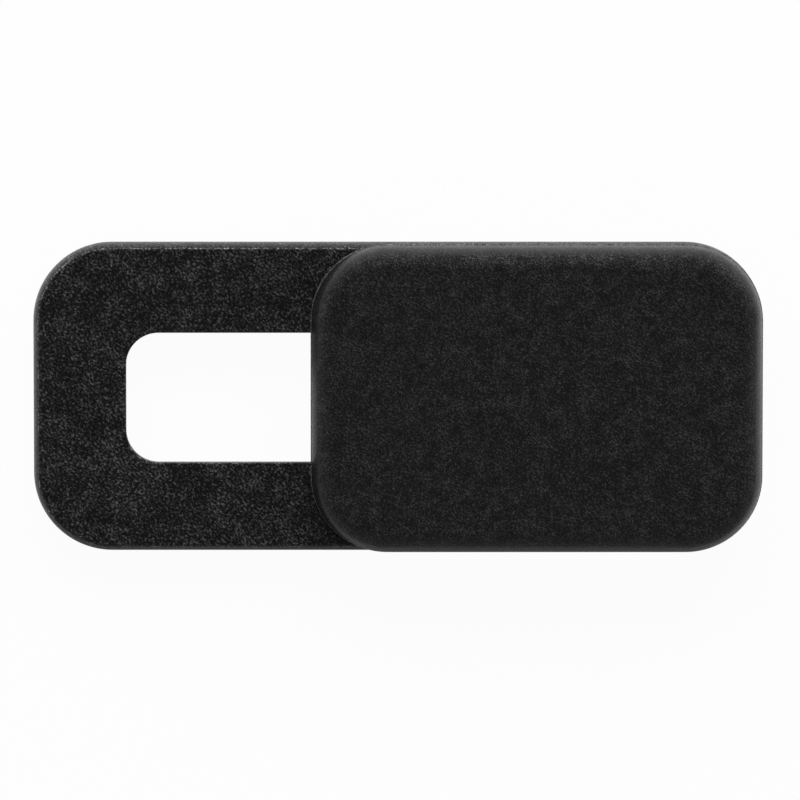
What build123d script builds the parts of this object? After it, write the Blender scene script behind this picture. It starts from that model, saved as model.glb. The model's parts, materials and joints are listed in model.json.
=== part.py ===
from build123d import *
import os

# Webcam cover slider: a framed base plate, a shutter that slides over it, and the pad that sticks it down.
# Millimetres. The origin is the middle of the pad's sticky face, +Z points away from the screen,
# +X along the slide towards the end where the shutter rests, and +Y across the plate.

# Base plate
BASE_LENGTH = 19.0
BASE_WIDTH = 8.08
BASE_THICKNESS = 0.55
BASE_CORNER_RADIUS = 2.05
BASE_FRONT_EDGE_CHAMFER = 0.15
BASE_BACK_EDGE_CHAMFER = 0.05

# Camera window through the base plate
WINDOW_WIDTH = 3.4
WINDOW_CORNER_RADIUS = 0.85
WINDOW_EDGE_RADIUS = 0.04
END_BAR_WIDTH = 2.42

# Shutter plate, with its draft in degrees
COVER_LENGTH = 11.78
COVER_THICKNESS = 0.85
COVER_CORNER_RADIUS = 2.0
COVER_SIDE_DRAFT = 11
COVER_FRONT_EDGE_RADIUS = 0.2
COVER_BACK_EDGE_CHAMFER = 0.04

# Legs and lips behind the shutter, which hold it on the base plate
LEG_THICKNESS = 0.5
LIP_THICKNESS = 0.17
LIP_OVERHANG = 0.17
LIP_LEAD_IN = 0.1

# Sticky pad
PAD_THICKNESS = 0.15
PAD_OUTER_SETBACK = 0.15
PAD_WINDOW_MARGIN = 0.15

# Running clearances
SLIDE_GAP = 0.05
LEG_SIDE_CLEARANCE = 0.06
LEG_END_CLEARANCE = 0.05
LIP_GAP = 0.05
LIP_SIDE_CLEARANCE = 0.1
LIP_RECESS = 0.06

# Heights above the sticky face
BASE_BACK = PAD_THICKNESS
BASE_FRONT = BASE_BACK + BASE_THICKNESS
COVER_BACK = BASE_FRONT + SLIDE_GAP
LIP_BACK = BASE_BACK + LIP_RECESS
LIP_FRONT = LIP_BACK + LIP_THICKNESS
LEDGE_BACK = LIP_FRONT + LIP_GAP

# Sizes that follow: the shutter is as wide as the base, rests flush with one end of it and slides until
# flush with the other
TRAVEL = BASE_LENGTH - COVER_LENGTH
COVER_WIDTH = BASE_WIDTH
COVER_CENTRE = TRAVEL / 2
WINDOW_LENGTH = BASE_LENGTH - 2 * END_BAR_WIDTH
RUNNER_LENGTH = WINDOW_LENGTH - TRAVEL - 2 * LEG_END_CLEARANCE
RUNNER_WIDTH = WINDOW_WIDTH - 2 * LEG_SIDE_CLEARANCE
RUNNER_CORNER_RADIUS = WINDOW_CORNER_RADIUS - LEG_SIDE_CLEARANCE
REBATE_MARGIN = LIP_OVERHANG + LIP_SIDE_CLEARANCE - LEG_SIDE_CLEARANCE


def rounded_slab(length, width, corner_radius, bottom, top, centre_x=0):
    """A flat slab with rounded corners, from one height to another."""
    outline = RectangleRounded(length, width, corner_radius)
    return extrude(Pos(centre_x, 0, bottom) * outline, amount=top - bottom)


def bottom_edges(slab):
    """The edges round a slab's lowest face."""
    return slab.faces().sort_by(Axis.Z)[0].edges()


def top_edges(slab):
    """The edges round a slab's highest face."""
    return slab.faces().sort_by(Axis.Z)[-1].edges()


def window_slab(margin, bottom, top):
    """The window's outline, grown by a margin all round, as a slab."""
    return rounded_slab(
        WINDOW_LENGTH + 2 * margin,
        WINDOW_WIDTH + 2 * margin,
        WINDOW_CORNER_RADIUS + margin,
        bottom,
        top,
    )


def base_frame():
    """The base plate: a bevelled front edge, the camera window, and a rebate behind it for the lips."""
    plate = rounded_slab(BASE_LENGTH, BASE_WIDTH, BASE_CORNER_RADIUS, BASE_BACK, BASE_FRONT)
    plate = chamfer(top_edges(plate), BASE_FRONT_EDGE_CHAMFER)
    plate = chamfer(bottom_edges(plate), BASE_BACK_EDGE_CHAMFER)
    plate = plate - window_slab(0, BASE_BACK, BASE_FRONT)
    front_face = plate.faces().sort_by(Axis.Z)[-1]
    plate = fillet(front_face.inner_wires()[0].edges(), WINDOW_EDGE_RADIUS)
    return plate - window_slab(REBATE_MARGIN, BASE_BACK, LEDGE_BACK)


def runner_slab(margin, bottom, top):
    """The outline that runs in the window, grown by a margin all round, as a slab under the shutter."""
    return rounded_slab(
        RUNNER_LENGTH + 2 * margin,
        RUNNER_WIDTH + 2 * margin,
        RUNNER_CORNER_RADIUS + margin,
        bottom,
        top,
        COVER_CENTRE,
    )


def slide_cover():
    """The shutter: a plate with leaning sides and a soft front edge, and two legs with lips behind it."""
    outline = RectangleRounded(COVER_LENGTH, COVER_WIDTH, COVER_CORNER_RADIUS)
    outline = Pos(COVER_CENTRE, 0, COVER_BACK) * outline
    plate = extrude(outline, amount=COVER_THICKNESS, taper=COVER_SIDE_DRAFT)
    plate = fillet(top_edges(plate), COVER_FRONT_EDGE_RADIUS)
    plate = chamfer(bottom_edges(plate), COVER_BACK_EDGE_CHAMFER)
    legs = runner_slab(0, LIP_BACK, COVER_BACK)
    lips = runner_slab(LIP_OVERHANG, LIP_BACK, LIP_FRONT)
    lips = chamfer(bottom_edges(lips), LIP_LEAD_IN)
    slot = Rectangle(COVER_LENGTH, RUNNER_WIDTH - 2 * LEG_THICKNESS)
    slot = extrude(Pos(COVER_CENTRE, 0, LIP_BACK) * slot, amount=COVER_BACK - LIP_BACK)
    return plate + (legs + lips - slot)


def adhesive_pad():
    """The die-cut pad: it stops short of the base's edge and of the rebate, so the lips never touch it."""
    sheet = rounded_slab(
        BASE_LENGTH - 2 * PAD_OUTER_SETBACK,
        BASE_WIDTH - 2 * PAD_OUTER_SETBACK,
        BASE_CORNER_RADIUS - PAD_OUTER_SETBACK,
        0,
        PAD_THICKNESS,
    )
    return sheet - window_slab(REBATE_MARGIN + PAD_WINDOW_MARGIN, 0, PAD_THICKNESS)


PIECES = {
    "base_frame": base_frame,
    "slide_cover": slide_cover,
    "adhesive_pad": adhesive_pad,
}

os.makedirs("parts", exist_ok=True)
for name, make in PIECES.items():
    export_step(make(), f"parts/{name}.step")
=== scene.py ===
import json
import math

import bmesh
import bpy
from mathutils import Matrix, Vector


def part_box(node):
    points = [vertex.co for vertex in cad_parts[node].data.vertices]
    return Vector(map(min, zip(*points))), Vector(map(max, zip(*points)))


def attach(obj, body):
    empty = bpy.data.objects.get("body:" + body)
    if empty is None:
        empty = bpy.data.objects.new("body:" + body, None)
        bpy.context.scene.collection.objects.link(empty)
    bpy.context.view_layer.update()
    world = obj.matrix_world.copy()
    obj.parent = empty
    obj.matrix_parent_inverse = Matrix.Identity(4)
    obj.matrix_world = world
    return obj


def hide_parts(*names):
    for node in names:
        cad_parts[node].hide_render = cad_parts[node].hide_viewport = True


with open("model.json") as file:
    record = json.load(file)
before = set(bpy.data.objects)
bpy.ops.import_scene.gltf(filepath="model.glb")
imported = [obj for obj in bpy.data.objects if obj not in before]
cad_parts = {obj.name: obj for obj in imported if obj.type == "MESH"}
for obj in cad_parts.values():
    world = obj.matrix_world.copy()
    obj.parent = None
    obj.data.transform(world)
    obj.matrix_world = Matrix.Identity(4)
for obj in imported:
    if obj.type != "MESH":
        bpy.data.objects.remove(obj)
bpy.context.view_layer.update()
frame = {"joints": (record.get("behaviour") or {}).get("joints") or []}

# Lengths are in millimetres while a piece is shaped, and it is brought to metres at the end
MM = 0.001
# Points nearer than this count as one point
NEAR = 1e-4
# How far rims are held apart while the strip between them is closed
APART = 5.0
# How finely round shapes are divided
CORNER_STEPS = 24
SIDE_STEPS = 14
WINDOW_EDGE_STEPS = 5
CROWN_STEPS = 8
CREST_STEPS = 5
PAD_EDGE_STEPS = 2
# Faces that meet at more than these angles form a square corner or a sharp edge
SQUARE_CORNER = math.radians(80)
SHARP_EDGE = math.radians(35)
QUARTER_TURN = math.pi / 2


def node_box(node):
    """A CAD node's lowest and highest corner, in millimetres."""
    low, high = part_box(node)
    return low / MM, high / MM


base_low, base_high = node_box("base_frame")
cover_low, cover_high = node_box("slide_cover")
pad_low, pad_high = node_box("adhesive_pad")

# An outline is a length, a width and a corner radius.

# Base plate
BASE_LENGTH = base_high.x - base_low.x
BASE_WIDTH = base_high.y - base_low.y
BASE_CORNER = 2.05
BASE_OUTLINE = (BASE_LENGTH, BASE_WIDTH, BASE_CORNER)
BASE_BACK = base_low.z
BASE_FRONT = base_high.z
BASE_EDGE_WIDTH = 0.2
BASE_EDGE_HEIGHT = 0.46
BASE_BACK_EDGE = 0.05
BASE_FLAT_BORDER = 0.02

# Camera window
END_BAR = 2.42
WINDOW_LENGTH = BASE_LENGTH - 2 * END_BAR
WINDOW_WIDTH = 3.4
WINDOW_CORNER = 0.85
WINDOW_OUTLINE = (WINDOW_LENGTH, WINDOW_WIDTH, WINDOW_CORNER)
WINDOW_EDGE = 0.04

# Shutter plate
COVER_LENGTH = cover_high.x - cover_low.x
COVER_WIDTH = cover_high.y - cover_low.y
COVER_CORNER = 2.0
COVER_OUTLINE = (COVER_LENGTH, COVER_WIDTH, COVER_CORNER)
COVER_CENTRE = (cover_low.x + cover_high.x) / 2
SLIDE_GAP = 0.05
COVER_BACK = BASE_FRONT + SLIDE_GAP
COVER_FRONT = cover_high.z
COVER_BACK_EDGE = 0.04
COVER_FLAT_BORDER = 0.05

# Its side: a low foot with a fine bevel, a flank that rounds over like an ellipse up to a fine crest,
# then a gentle crown
FOOT_RISE = 0.07
FOOT_HEIGHT = COVER_BACK + FOOT_RISE
FOOT_BEVEL = 0.02
FLANK_FOOT = FOOT_HEIGHT + FOOT_BEVEL
FLANK_WIDTH = 0.37
FLANK_HEIGHT = 0.72
FLANK_TURN = math.radians(60)
CREST_HEIGHT = FLANK_FOOT + FLANK_HEIGHT * math.sin(FLANK_TURN)
CREST_ROUNDING = 0.025
CROWN_INSET = 0.38
CROWN_ROUNDING = 0.19

# Legs and lips behind the shutter, which run in the window
TRAVEL = frame["joints"][0]["range_m"][1] / MM
LEG_SIDE_CLEARANCE = 0.06
LEG_END_CLEARANCE = 0.05
LEG_THICKNESS = 0.5
LEG_ROOT_DEPTH = 0.1
RUNNER_LENGTH = WINDOW_LENGTH - TRAVEL - 2 * LEG_END_CLEARANCE
RUNNER_WIDTH = WINDOW_WIDTH - 2 * LEG_SIDE_CLEARANCE
RUNNER_CORNER = WINDOW_CORNER - LEG_SIDE_CLEARANCE
RUNNER_OUTLINE = (RUNNER_LENGTH, RUNNER_WIDTH, RUNNER_CORNER)
LIP_THICKNESS = 0.17
LIP_BACK = cover_low.z
LIP_FRONT = LIP_BACK + LIP_THICKNESS
LIP_OVERHANG = 0.17
LIP_LEAD_IN = 0.1

# Rebate behind the window, which leaves the lips room
LIP_GAP = 0.05
LIP_SIDE_CLEARANCE = 0.1
LEDGE_BACK = LIP_FRONT + LIP_GAP
REBATE_MARGIN = LIP_OVERHANG + LIP_SIDE_CLEARANCE - LEG_SIDE_CLEARANCE

# Sticky pad
PAD_LENGTH = pad_high.x - pad_low.x
PAD_WIDTH = pad_high.y - pad_low.y
PAD_CORNER = BASE_CORNER - (BASE_LENGTH - PAD_LENGTH) / 2
PAD_OUTLINE = (PAD_LENGTH, PAD_WIDTH, PAD_CORNER)
PAD_BACK = pad_low.z
PAD_FRONT = pad_high.z
PAD_WINDOW_MARGIN = 0.15
PAD_EDGE = 0.02


# Shaping

def grown(outline, margin):
    """An outline with a margin added all round."""
    length, width, corner = outline
    return length + 2 * margin, width + 2 * margin, corner + margin


def rounded_face(bm, outline, height, centre=0.0):
    """A flat face with rounded corners at one height."""
    length, width, corner = outline
    sheet = bmesh.ops.create_grid(bm, x_segments=1, y_segments=1, size=0.5)["verts"]
    bmesh.ops.scale(bm, vec=(length, width, 1), verts=sheet)
    bmesh.ops.translate(bm, vec=(centre, 0, height), verts=sheet)
    rounded = bmesh.ops.bevel(
        bm, geom=sheet, offset=corner, offset_type="OFFSET", segments=CORNER_STEPS,
        profile=0.5, affect="VERTICES", material=-1,
    )
    return rounded["verts"][0].link_faces[0]


def rounded_rim(bm, outline, height, centre=0.0):
    """Only the edges of such a face."""
    face = rounded_face(bm, outline, height, centre)
    rim = list(face.edges)
    bmesh.ops.delete(bm, geom=[face], context="FACES_ONLY")
    return rim


def rounded_side(bm, outline, foot, width, height, full_turn, centre=0.0):
    """The rims of a plate's side, which rounds over from upright like an ellipse, as far as a turn."""
    rims = []
    for step in range(SIDE_STEPS + 1):
        turn = full_turn * step / SIDE_STEPS
        inset = width * (1 - math.cos(turn))
        rims.append(rounded_rim(bm, grown(outline, -inset), foot + height * math.sin(turn), centre))
    return rims


def skin(bm, *rims):
    """Closes the strip between each rim and the next. Rims in one plane are held apart meanwhile."""
    for rim, following in zip(rims, rims[1:]):
        lifted = list({vert for edge in following for vert in edge.verts})
        bmesh.ops.translate(bm, vec=(0, 0, APART), verts=lifted)
        bmesh.ops.bridge_loops(bm, edges=rim + following)
        bmesh.ops.translate(bm, vec=(0, 0, -APART), verts=lifted)
    bmesh.ops.recalc_face_normals(bm, faces=bm.faces)


def at_height(parts, height):
    """Those edges or faces that lie flat at one height."""
    return [part for part in parts if all(abs(vert.co.z - height) < NEAR for vert in part.verts)]


def corners_at_height(bm, height):
    """Those edges at one height where two faces meet in a square corner."""
    return [edge for edge in at_height(bm.edges, height) if edge.calc_face_angle(0) > SQUARE_CORNER]


def soften(bm, edges, width, steps):
    """Rounds edges off."""
    bmesh.ops.bevel(
        bm, geom=edges, offset=width, offset_type="OFFSET", segments=steps,
        profile=0.5, affect="EDGES", material=-1,
    )


def border(bm, height, width):
    """Keeps a flat face flat up to its rounded edge, with a narrow strip of faces along it."""
    bmesh.ops.inset_region(bm, faces=at_height(bm.faces, height), thickness=width, use_even_offset=True)


def everything(bm):
    """All of a mesh's points, edges and faces."""
    return bm.verts[:] + bm.edges[:] + bm.faces[:]


def object_from(bm, name):
    """A new object with the mesh so far."""
    mesh = bpy.data.meshes.new(name)
    bm.to_mesh(mesh)
    bm.free()
    made = bpy.data.objects.new(name, mesh)
    bpy.context.scene.collection.objects.link(made)
    return made


def welded(first, second):
    """One mesh from two closed shapes that run into each other."""
    body, limb = object_from(first, "body"), object_from(second, "limb")
    weld = body.modifiers.new("weld", "BOOLEAN")
    weld.operation = "UNION"
    weld.solver = "EXACT"
    weld.object = limb
    result = bmesh.new()
    result.from_object(body, bpy.context.evaluated_depsgraph_get())
    for spent in (body, limb):
        bpy.data.meshes.remove(spent.data)
    return result


def piece_from(bm, name):
    """Makes the finished piece: metres, faces outwards, smooth except across its sharp edges."""
    bmesh.ops.remove_doubles(bm, verts=bm.verts, dist=NEAR)
    bmesh.ops.recalc_face_normals(bm, faces=bm.faces)
    bmesh.ops.scale(bm, vec=(MM, MM, MM), verts=bm.verts)
    for face in bm.faces:
        face.smooth = True
    for edge in bm.edges:
        edge.smooth = edge.calc_face_angle(math.pi) < SHARP_EDGE
    return object_from(bm, name)


# Pieces

def make_base():
    """The moulded base plate with its window, and the rebate that the lips run in."""
    bm = bmesh.new()
    rebate = grown(WINDOW_OUTLINE, REBATE_MARGIN)
    back = rounded_rim(bm, grown(BASE_OUTLINE, -BASE_BACK_EDGE), BASE_BACK)
    foot = rounded_rim(bm, BASE_OUTLINE, BASE_BACK + BASE_BACK_EDGE)
    side = rounded_side(
        bm, BASE_OUTLINE, BASE_FRONT - BASE_EDGE_HEIGHT, BASE_EDGE_WIDTH, BASE_EDGE_HEIGHT, QUARTER_TURN,
    )
    flat = rounded_rim(bm, grown(BASE_OUTLINE, -BASE_EDGE_WIDTH - BASE_FLAT_BORDER), BASE_FRONT)
    mouth = rounded_rim(bm, WINDOW_OUTLINE, BASE_FRONT)
    ledge_inner = rounded_rim(bm, WINDOW_OUTLINE, LEDGE_BACK)
    ledge_outer = rounded_rim(bm, rebate, LEDGE_BACK)
    rebate_back = rounded_rim(bm, rebate, BASE_BACK)
    skin(bm, back, foot, *side, flat, mouth, ledge_inner, ledge_outer, rebate_back, back)
    soften(bm, corners_at_height(bm, BASE_FRONT), WINDOW_EDGE, WINDOW_EDGE_STEPS)
    return piece_from(bm, "base_moulding")


def make_legs():
    """The shutter's two legs, each with a lip that hooks behind the base plate."""
    bm = bmesh.new()
    lip = grown(RUNNER_OUTLINE, LIP_OVERHANG)
    root = rounded_face(bm, RUNNER_OUTLINE, COVER_BACK + LEG_ROOT_DEPTH, COVER_CENTRE)
    neck = rounded_rim(bm, RUNNER_OUTLINE, LIP_FRONT, COVER_CENTRE)
    lip_front = rounded_rim(bm, lip, LIP_FRONT, COVER_CENTRE)
    lip_side = rounded_rim(bm, lip, LIP_BACK + LIP_LEAD_IN, COVER_CENTRE)
    foot = rounded_face(bm, grown(lip, -LIP_LEAD_IN), LIP_BACK, COVER_CENTRE)
    skin(bm, list(root.edges), neck, lip_front, lip_side, list(foot.edges))
    inner_side = RUNNER_WIDTH / 2 - LEG_THICKNESS
    cut = bmesh.ops.bisect_plane(
        bm, geom=everything(bm), dist=NEAR,
        plane_co=(0, inner_side, 0), plane_no=(0, 1, 0), clear_inner=True,
    )
    cut_edges = [part for part in cut["geom_cut"] if isinstance(part, bmesh.types.BMEdge)]
    bmesh.ops.contextual_create(bm, geom=cut_edges)
    bmesh.ops.mirror(bm, geom=everything(bm), matrix=Matrix(), merge_dist=0, axis="Y")
    bmesh.ops.recalc_face_normals(bm, faces=bm.faces)
    return bm


def make_cover():
    """The shutter: a plate with rounded sides, and the legs and lips that hold it on."""
    bm = bmesh.new()
    back = rounded_face(bm, grown(COVER_OUTLINE, -COVER_BACK_EDGE), COVER_BACK, COVER_CENTRE)
    edge = rounded_rim(bm, COVER_OUTLINE, COVER_BACK + COVER_BACK_EDGE, COVER_CENTRE)
    foot = rounded_rim(bm, COVER_OUTLINE, FOOT_HEIGHT, COVER_CENTRE)
    flank = rounded_side(
        bm, grown(COVER_OUTLINE, -FOOT_BEVEL), FLANK_FOOT,
        FLANK_WIDTH, FLANK_HEIGHT, FLANK_TURN, COVER_CENTRE,
    )
    front = rounded_face(bm, grown(COVER_OUTLINE, -CROWN_INSET), COVER_FRONT, COVER_CENTRE)
    skin(bm, list(back.edges), edge, foot, *flank, list(front.edges))
    soften(bm, at_height(bm.edges, COVER_FRONT), CROWN_ROUNDING, CROWN_STEPS)
    soften(bm, at_height(bm.edges, CREST_HEIGHT), CREST_ROUNDING, CREST_STEPS)
    border(bm, COVER_FRONT, COVER_FLAT_BORDER)
    return piece_from(welded(bm, make_legs()), "cover_moulding")


def make_pad():
    """The die-cut sticky pad, which stops short of the rebate."""
    bm = bmesh.new()
    hole = grown(WINDOW_OUTLINE, REBATE_MARGIN + PAD_WINDOW_MARGIN)
    front = rounded_rim(bm, PAD_OUTLINE, PAD_FRONT)
    back = rounded_rim(bm, PAD_OUTLINE, PAD_BACK)
    hole_front = rounded_rim(bm, hole, PAD_FRONT)
    hole_back = rounded_rim(bm, hole, PAD_BACK)
    skin(bm, front, hole_front, hole_back, back, front)
    for height in (PAD_FRONT, PAD_BACK):
        soften(bm, corners_at_height(bm, height), PAD_EDGE, PAD_EDGE_STEPS)
    return piece_from(bm, "sticky_pad")


# Finishes

def new_group(name, inputs, outputs):
    """An empty node group with number sockets, and its end nodes."""
    group = bpy.data.node_groups.new(name, "ShaderNodeTree")
    for label, value in inputs.items():
        socket = group.interface.new_socket(label, in_out="INPUT", socket_type="NodeSocketFloat")
        socket.default_value = value
    for label in outputs:
        group.interface.new_socket(label, in_out="OUTPUT", socket_type="NodeSocketFloat")
    return group, group.nodes.new("NodeGroupInput"), group.nodes.new("NodeGroupOutput")


def feed(tree, socket, value):
    """Gives a socket a plain number, or what comes out of another socket."""
    if isinstance(value, (int, float)):
        socket.default_value = value
    else:
        tree.links.new(value, socket)


def arithmetic(tree, operation, *values):
    """A Math node on sockets or plain numbers, and its result."""
    node = tree.nodes.new("ShaderNodeMath")
    node.operation = operation
    for socket, value in zip(node.inputs, values):
        feed(tree, socket, value)
    return node.outputs[0]


def span(tree, value, reach, at_low, at_high):
    """A result that goes smoothly from one number to another as a value crosses its reach."""
    node = tree.nodes.new("ShaderNodeMapRange")
    node.interpolation_type = "SMOOTHSTEP"
    low, high = reach
    feed(tree, node.inputs["Value"], value)
    feed(tree, node.inputs["From Min"], low)
    feed(tree, node.inputs["From Max"], high)
    feed(tree, node.inputs["To Min"], at_low)
    feed(tree, node.inputs["To Max"], at_high)
    return node.outputs["Result"]


# The grain's pimples and broad mottling: how fine each is in itself, how much the mottling counts beside
# the pimples, and how many pimples it is across
PIMPLE_DETAIL = 2
MOTTLE_DETAIL = 1
NOISE_ROUGHNESS = 0.6
NOISE_MIDDLE = 0.5
MOTTLING = 0.25
MOTTLE_SIZE = 8
# The diagonal that the pimples are drawn out along, and the rise that goes from darkest to lightest
GRAIN_DIAGONAL = math.radians(-45)
GRAIN_RISE = (-0.32, 0.25)
# How far a face looks up, from 0 on a wall to 1 on a flat: where the full grain of the flats begins, where
# the crest's painted highlight begins and ends, and where the side's gloss ends
FLAT_BEGINS = (0.74, 0.86)
CREST_BEGINS = (0.7, 0.75)
CREST_ENDS = (0.79, 0.85)
SIDE_ENDS = (0.2, 0.9)


def noise(tree, place, per_metre, detail):
    """A noise pattern, as its value above or below the middle."""
    node = tree.nodes.new("ShaderNodeTexNoise")
    node.inputs["Detail"].default_value = detail
    node.inputs["Roughness"].default_value = NOISE_ROUGHNESS
    tree.links.new(place, node.inputs["Vector"])
    tree.links.new(per_metre, node.inputs["Scale"])
    return arithmetic(tree, "SUBTRACT", node.outputs["Fac"], NOISE_MIDDLE)


def parts_of(tree, vector):
    """A vector's three numbers, by name."""
    node = tree.nodes.new("ShaderNodeSeparateXYZ")
    tree.links.new(vector, node.inputs["Vector"])
    return node.outputs


def drawn_out(tree, place, stretch):
    """A place on the surface, as a pattern drawn out along the grain's diagonal sees it."""
    scale = tree.nodes.new("ShaderNodeCombineXYZ")
    feed(tree, scale.inputs["X"], stretch)
    feed(tree, scale.inputs["Y"], 1)
    feed(tree, scale.inputs["Z"], 1)
    turn = tree.nodes.new("ShaderNodeMapping")
    turn.vector_type = "TEXTURE"
    turn.inputs["Rotation"].default_value = (0, 0, GRAIN_DIAGONAL)
    tree.links.new(place, turn.inputs["Vector"])
    tree.links.new(scale.outputs["Vector"], turn.inputs["Scale"])
    return turn.outputs["Vector"]


def grain_group():
    """Moulded grain: fine pimples, drawn out along one diagonal, over a broad mottling, and painted
    highlights along crest and foot.
    """
    group, end_in, end_out = new_group(
        "moulded_grain",
        {
            "Per Metre": 20000, "Stretch": 1, "Contrast": 1, "On Edges": 1,
            "Crest Highlight": 0, "Foot Highlight": 0, "Foot Height": 0, "Foot Reach": 0,
        },
        ("Height", "Tone And Highlight", "Steep"),
    )
    given, result = end_in.outputs, end_out.inputs
    surface = group.nodes.new("ShaderNodeTexCoord").outputs
    upright = arithmetic(group, "ABSOLUTE", parts_of(group, surface["Normal"])["Z"])

    broad = arithmetic(group, "DIVIDE", given["Per Metre"], MOTTLE_SIZE)
    along = drawn_out(group, surface["Object"], given["Stretch"])
    pimples = noise(group, along, given["Per Metre"], PIMPLE_DETAIL)
    mottle = noise(group, surface["Object"], broad, MOTTLE_DETAIL)
    whole = arithmetic(group, "MULTIPLY_ADD", mottle, MOTTLING, pimples)
    rise = arithmetic(group, "MULTIPLY", whole, span(group, upright, FLAT_BEGINS, given["On Edges"], 1))
    levelled = span(group, rise, GRAIN_RISE, -1, 1)
    tone = arithmetic(group, "EXPONENT", arithmetic(group, "MULTIPLY", levelled, given["Contrast"]))

    # Painted highlight: colour made lighter along the crest, standing in for the light that the crest
    # catches
    crest = arithmetic(
        group, "MULTIPLY",
        span(group, upright, CREST_BEGINS, 0, 1), span(group, upright, CREST_ENDS, given["Crest Highlight"], 0),
    )
    # Painted highlight: a lighter line of colour along the cover's foot, standing in for light caught on
    # its edge
    height = parts_of(group, surface["Object"])["Z"]
    foot = arithmetic(group, "COMPARE", height, given["Foot Height"], given["Foot Reach"])
    painted_highlight = arithmetic(group, "MULTIPLY_ADD", foot, given["Foot Highlight"], crest)

    group.links.new(arithmetic(group, "ADD", rise, NOISE_MIDDLE), result["Height"])
    # The tone is the grain's own tone, made lighter where the highlights are painted
    group.links.new(arithmetic(group, "MULTIPLY_ADD", painted_highlight, tone, tone), result["Tone And Highlight"])
    group.links.new(span(group, upright, SIDE_ENDS, 1, 0), result["Steep"])
    return group


MOULDED_GRAIN = grain_group()

# The grain's pits are duller than its pimples: between which heights, and by how much either way
POLISH_HEIGHTS = (0.3, 0.7)
POLISH_SPREAD = 0.1


def new_finish(name):
    """A material with its shader, and the shader's inputs by name."""
    finish = bpy.data.materials.new(name)
    finish.use_nodes = True
    return finish, finish.node_tree.nodes["Principled BSDF"].inputs


def grained_finish(name, colour, roughness, side_gloss, grain_size, grain_depth, grain):
    """A finish with moulded grain: its size and depth in millimetres, and its other inputs by name."""
    finish, shader = new_finish(name)
    tree = finish.node_tree
    pattern = tree.nodes.new("ShaderNodeGroup")
    pattern.node_tree = MOULDED_GRAIN
    pattern.inputs["Per Metre"].default_value = 1 / (grain_size * MM)
    for label, value in grain.items():
        pattern.inputs[label].default_value = value
    # Base colour: the black times the grain's tone, lightened by the painted highlights
    tint = tree.nodes.new("ShaderNodeVectorMath")
    tint.operation = "SCALE"
    tint.inputs["Vector"].default_value = colour
    tree.links.new(pattern.outputs["Tone And Highlight"], tint.inputs["Scale"])
    tree.links.new(tint.outputs["Vector"], shader["Base Color"])
    polish = span(
        tree, pattern.outputs["Height"], POLISH_HEIGHTS,
        roughness + POLISH_SPREAD, roughness - POLISH_SPREAD,
    )
    glossed = arithmetic(tree, "MULTIPLY_ADD", pattern.outputs["Steep"], -side_gloss, polish)
    tree.links.new(glossed, shader["Roughness"])
    bump = tree.nodes.new("ShaderNodeBump")
    bump.inputs["Strength"].default_value = 1
    bump.inputs["Distance"].default_value = grain_depth * MM
    tree.links.new(pattern.outputs["Height"], bump.inputs["Height"])
    tree.links.new(bump.outputs["Normal"], shader["Normal"])
    return finish


def dress(piece, finish, body, node):
    """Gives a piece its finish and its body, and hides the CAD node it stands for."""
    piece.data.materials.append(finish)
    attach(piece, body)
    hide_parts(node)


# The black at the grain's middle tone
BLACK = (0.0062, 0.0062, 0.0062)

# Its crest is lightened with a painted highlight
base_plastic = grained_finish(
    "base_plastic", BLACK, roughness=0.3, side_gloss=0.12, grain_size=0.0546, grain_depth=0.02,
    grain={"Stretch": 1.3, "Contrast": 2.8, "On Edges": 0.85, "Crest Highlight": 2.8},
)
# Its crest and its foot are lightened with painted highlights
cover_plastic = grained_finish(
    "cover_plastic", BLACK, roughness=0.4, side_gloss=0.2, grain_size=0.037, grain_depth=0.015,
    grain={
        "Stretch": 1.6, "Contrast": 2.15, "On Edges": 0.6, "Crest Highlight": 0.2, "Foot Highlight": 4.5,
        "Foot Height": (FOOT_HEIGHT + FOOT_BEVEL / 2) * MM, "Foot Reach": FOOT_BEVEL / 2 * MM,
    },
)
tape = grained_finish(
    "adhesive_tape", (0.03, 0.03, 0.032), roughness=0.4, side_gloss=0, grain_size=0.12, grain_depth=0.006,
    grain={"Contrast": 0.5},
)

dress(make_base(), base_plastic, "base", "base_frame")
dress(make_cover(), cover_plastic, "cover", "slide_cover")
dress(make_pad(), tape, "base", "adhesive_pad")


# Studio, in metres

def softbox(name, place, size, watts, in_gloss):
    """A soft rectangular lamp that faces the object, which may show in its gloss or only light it."""
    lamp = bpy.data.lights.new(name, "AREA")
    lamp.shape = "RECTANGLE"
    lamp.size, lamp.size_y = size
    lamp.energy = watts
    stand = bpy.data.objects.new(name, lamp)
    stand.location = place
    stand.rotation_euler = Vector(place).to_track_quat("Z", "Y").to_euler()
    stand.visible_camera = False
    stand.visible_glossy = in_gloss
    bpy.context.scene.collection.objects.link(stand)


softbox("far_softbox", place=(0.0, 0.32, 0.12), size=(0.48, 0.2), watts=2.3, in_gloss=False)
softbox("right_softbox", place=(0.14, 0.1, 0.045), size=(0.1, 0.035), watts=0.022, in_gloss=True)

# Light from the room: its level overhead, then all round and at the horizon, each with how much more
# comes from the right and from the far side
OVERHEAD_LIGHT = 0.02
LIGHT_ALL_ROUND = (0.46, 0.0, 0.05)
LIGHT_AT_HORIZON = (0.0, -0.1, 0.12)
# The powers by which the light all round falls off overhead, and the light at the horizon above it
OVERHEAD_FALL = 2
HORIZON_FALL = 4


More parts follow.
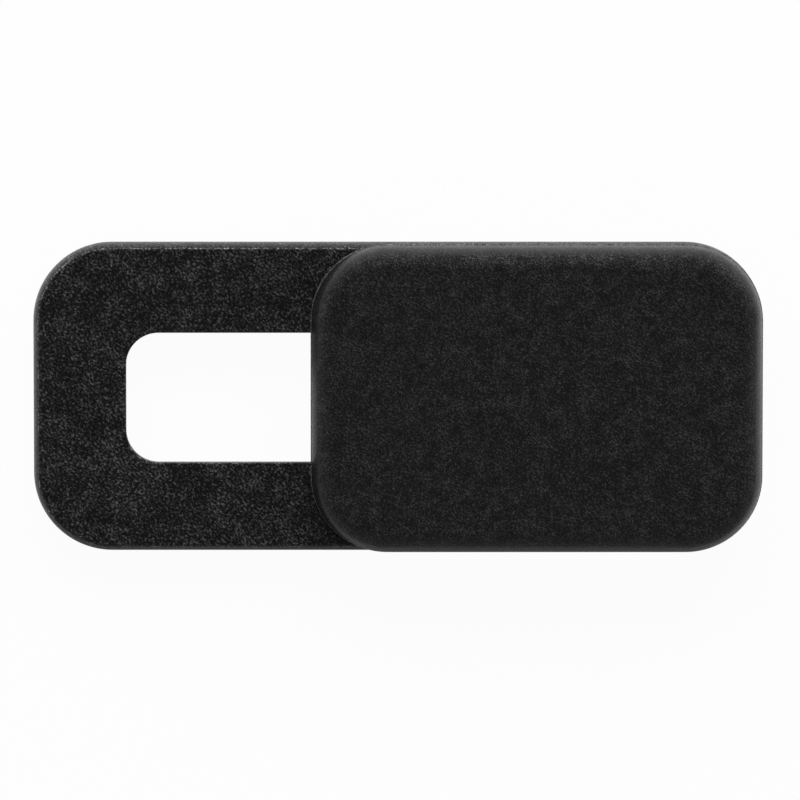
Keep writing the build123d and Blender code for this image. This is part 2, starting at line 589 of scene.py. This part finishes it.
def studio_world():
    """A soft room, dim overhead and lighter all round."""
    world = bpy.data.worlds.new("studio")
    world.use_nodes = True
    tree = world.node_tree
    way = parts_of(tree, tree.nodes.new("ShaderNodeTexCoord").outputs["Generated"])
    up = arithmetic(tree, "ABSOLUTE", way["Z"])

    def leaning(even, more_right, more_far):
        """Light that is even apart from how it leans to the right and to the far side."""
        to_right = arithmetic(tree, "MULTIPLY_ADD", way["X"], more_right, even)
        return arithmetic(tree, "MULTIPLY_ADD", way["Y"], more_far, to_right)

    even, more_right, more_far = LIGHT_ALL_ROUND
    aside = arithmetic(tree, "SUBTRACT", 1, arithmetic(tree, "POWER", up, OVERHEAD_FALL))
    balanced = arithmetic(tree, "MULTIPLY_ADD", aside, even, OVERHEAD_LIGHT)
    all_round = leaning(balanced, more_right, more_far)
    low_down = arithmetic(tree, "POWER", arithmetic(tree, "SUBTRACT", 1, up), HORIZON_FALL)
    level = arithmetic(tree, "MULTIPLY_ADD", low_down, leaning(*LIGHT_AT_HORIZON), all_round)
    room = tree.nodes["Background"].inputs
    room["Color"].default_value = (1, 1, 1, 1)
    tree.links.new(level, room["Strength"])
    bpy.context.scene.world = world


studio_world()

# The table looks white, and a little of its own light and shade still shows
TABLE_COLOUR = (0.9, 0.9, 0.9, 1)
TABLE_ROUGHNESS = 0.9
TABLE_WHITE = 0.96
TABLE_IN_GLOSS = 0.05
TABLE_HALF_SIDE = 2
# Its face is a hair above the pad's sticky side, so that this shows from below
TABLE_FACE = 0.005 * MM


def table_finish():
    """White that keeps a faint shadow of the object. From below it lets the view through."""
    finish, shader = new_finish("white_table")
    tree = finish.node_tree
    nodes, links = tree.nodes, tree.links
    shader["Base Color"].default_value = TABLE_COLOUR
    shader["Roughness"].default_value = TABLE_ROUGHNESS
    ray = nodes.new("ShaderNodeLightPath").outputs
    in_gloss = arithmetic(tree, "MULTIPLY", ray["Is Glossy Ray"], TABLE_IN_GLOSS)
    seen = arithmetic(tree, "MAXIMUM", ray["Is Camera Ray"], ray["Is Transmission Ray"])
    white = arithmetic(tree, "MULTIPLY", arithmetic(tree, "MAXIMUM", seen, in_gloss), TABLE_WHITE)
    top = nodes.new("ShaderNodeMixShader")
    links.new(white, top.inputs["Fac"])
    links.new(nodes["Principled BSDF"].outputs[0], top.inputs[1])
    links.new(nodes.new("ShaderNodeEmission").outputs[0], top.inputs[2])
    sides = nodes.new("ShaderNodeMixShader")
    links.new(nodes.new("ShaderNodeNewGeometry").outputs["Backfacing"], sides.inputs["Fac"])
    links.new(top.outputs[0], sides.inputs[1])
    links.new(nodes.new("ShaderNodeBsdfTransparent").outputs[0], sides.inputs[2])
    links.new(sides.outputs[0], nodes["Material Output"].inputs["Surface"])
    return finish


def make_table():
    """The table that the object lies on."""
    bm = bmesh.new()
    bmesh.ops.create_grid(bm, x_segments=1, y_segments=1, size=TABLE_HALF_SIDE)
    bmesh.ops.translate(bm, vec=(0, 0, TABLE_FACE), verts=bm.verts)
    table = object_from(bm, "table")
    table.data.materials.append(table_finish())


make_table()

# Camera: nearly straight down on the front face, a little from the far long side
CAMERA_DISTANCE = 0.25
CAMERA_TILT = math.radians(6.5)
SENSOR_WIDTH = 36
VIEW_WIDTH = 20.82 * MM
AIM = Vector((0.000053, -0.000043, 0.0008))

camera = bpy.data.objects.new("camera", bpy.data.cameras.new("camera"))
camera.data.sensor_width = SENSOR_WIDTH
camera.data.lens = SENSOR_WIDTH * CAMERA_DISTANCE / VIEW_WIDTH
camera.rotation_euler = (-CAMERA_TILT, 0, 0)
camera.location = AIM + CAMERA_DISTANCE * Vector((0, math.sin(CAMERA_TILT), math.cos(CAMERA_TILT)))
bpy.context.scene.collection.objects.link(camera)
bpy.context.scene.camera = camera
bpy.context.scene.view_settings.view_transform = "Standard"

bpy.context.view_layer.update()
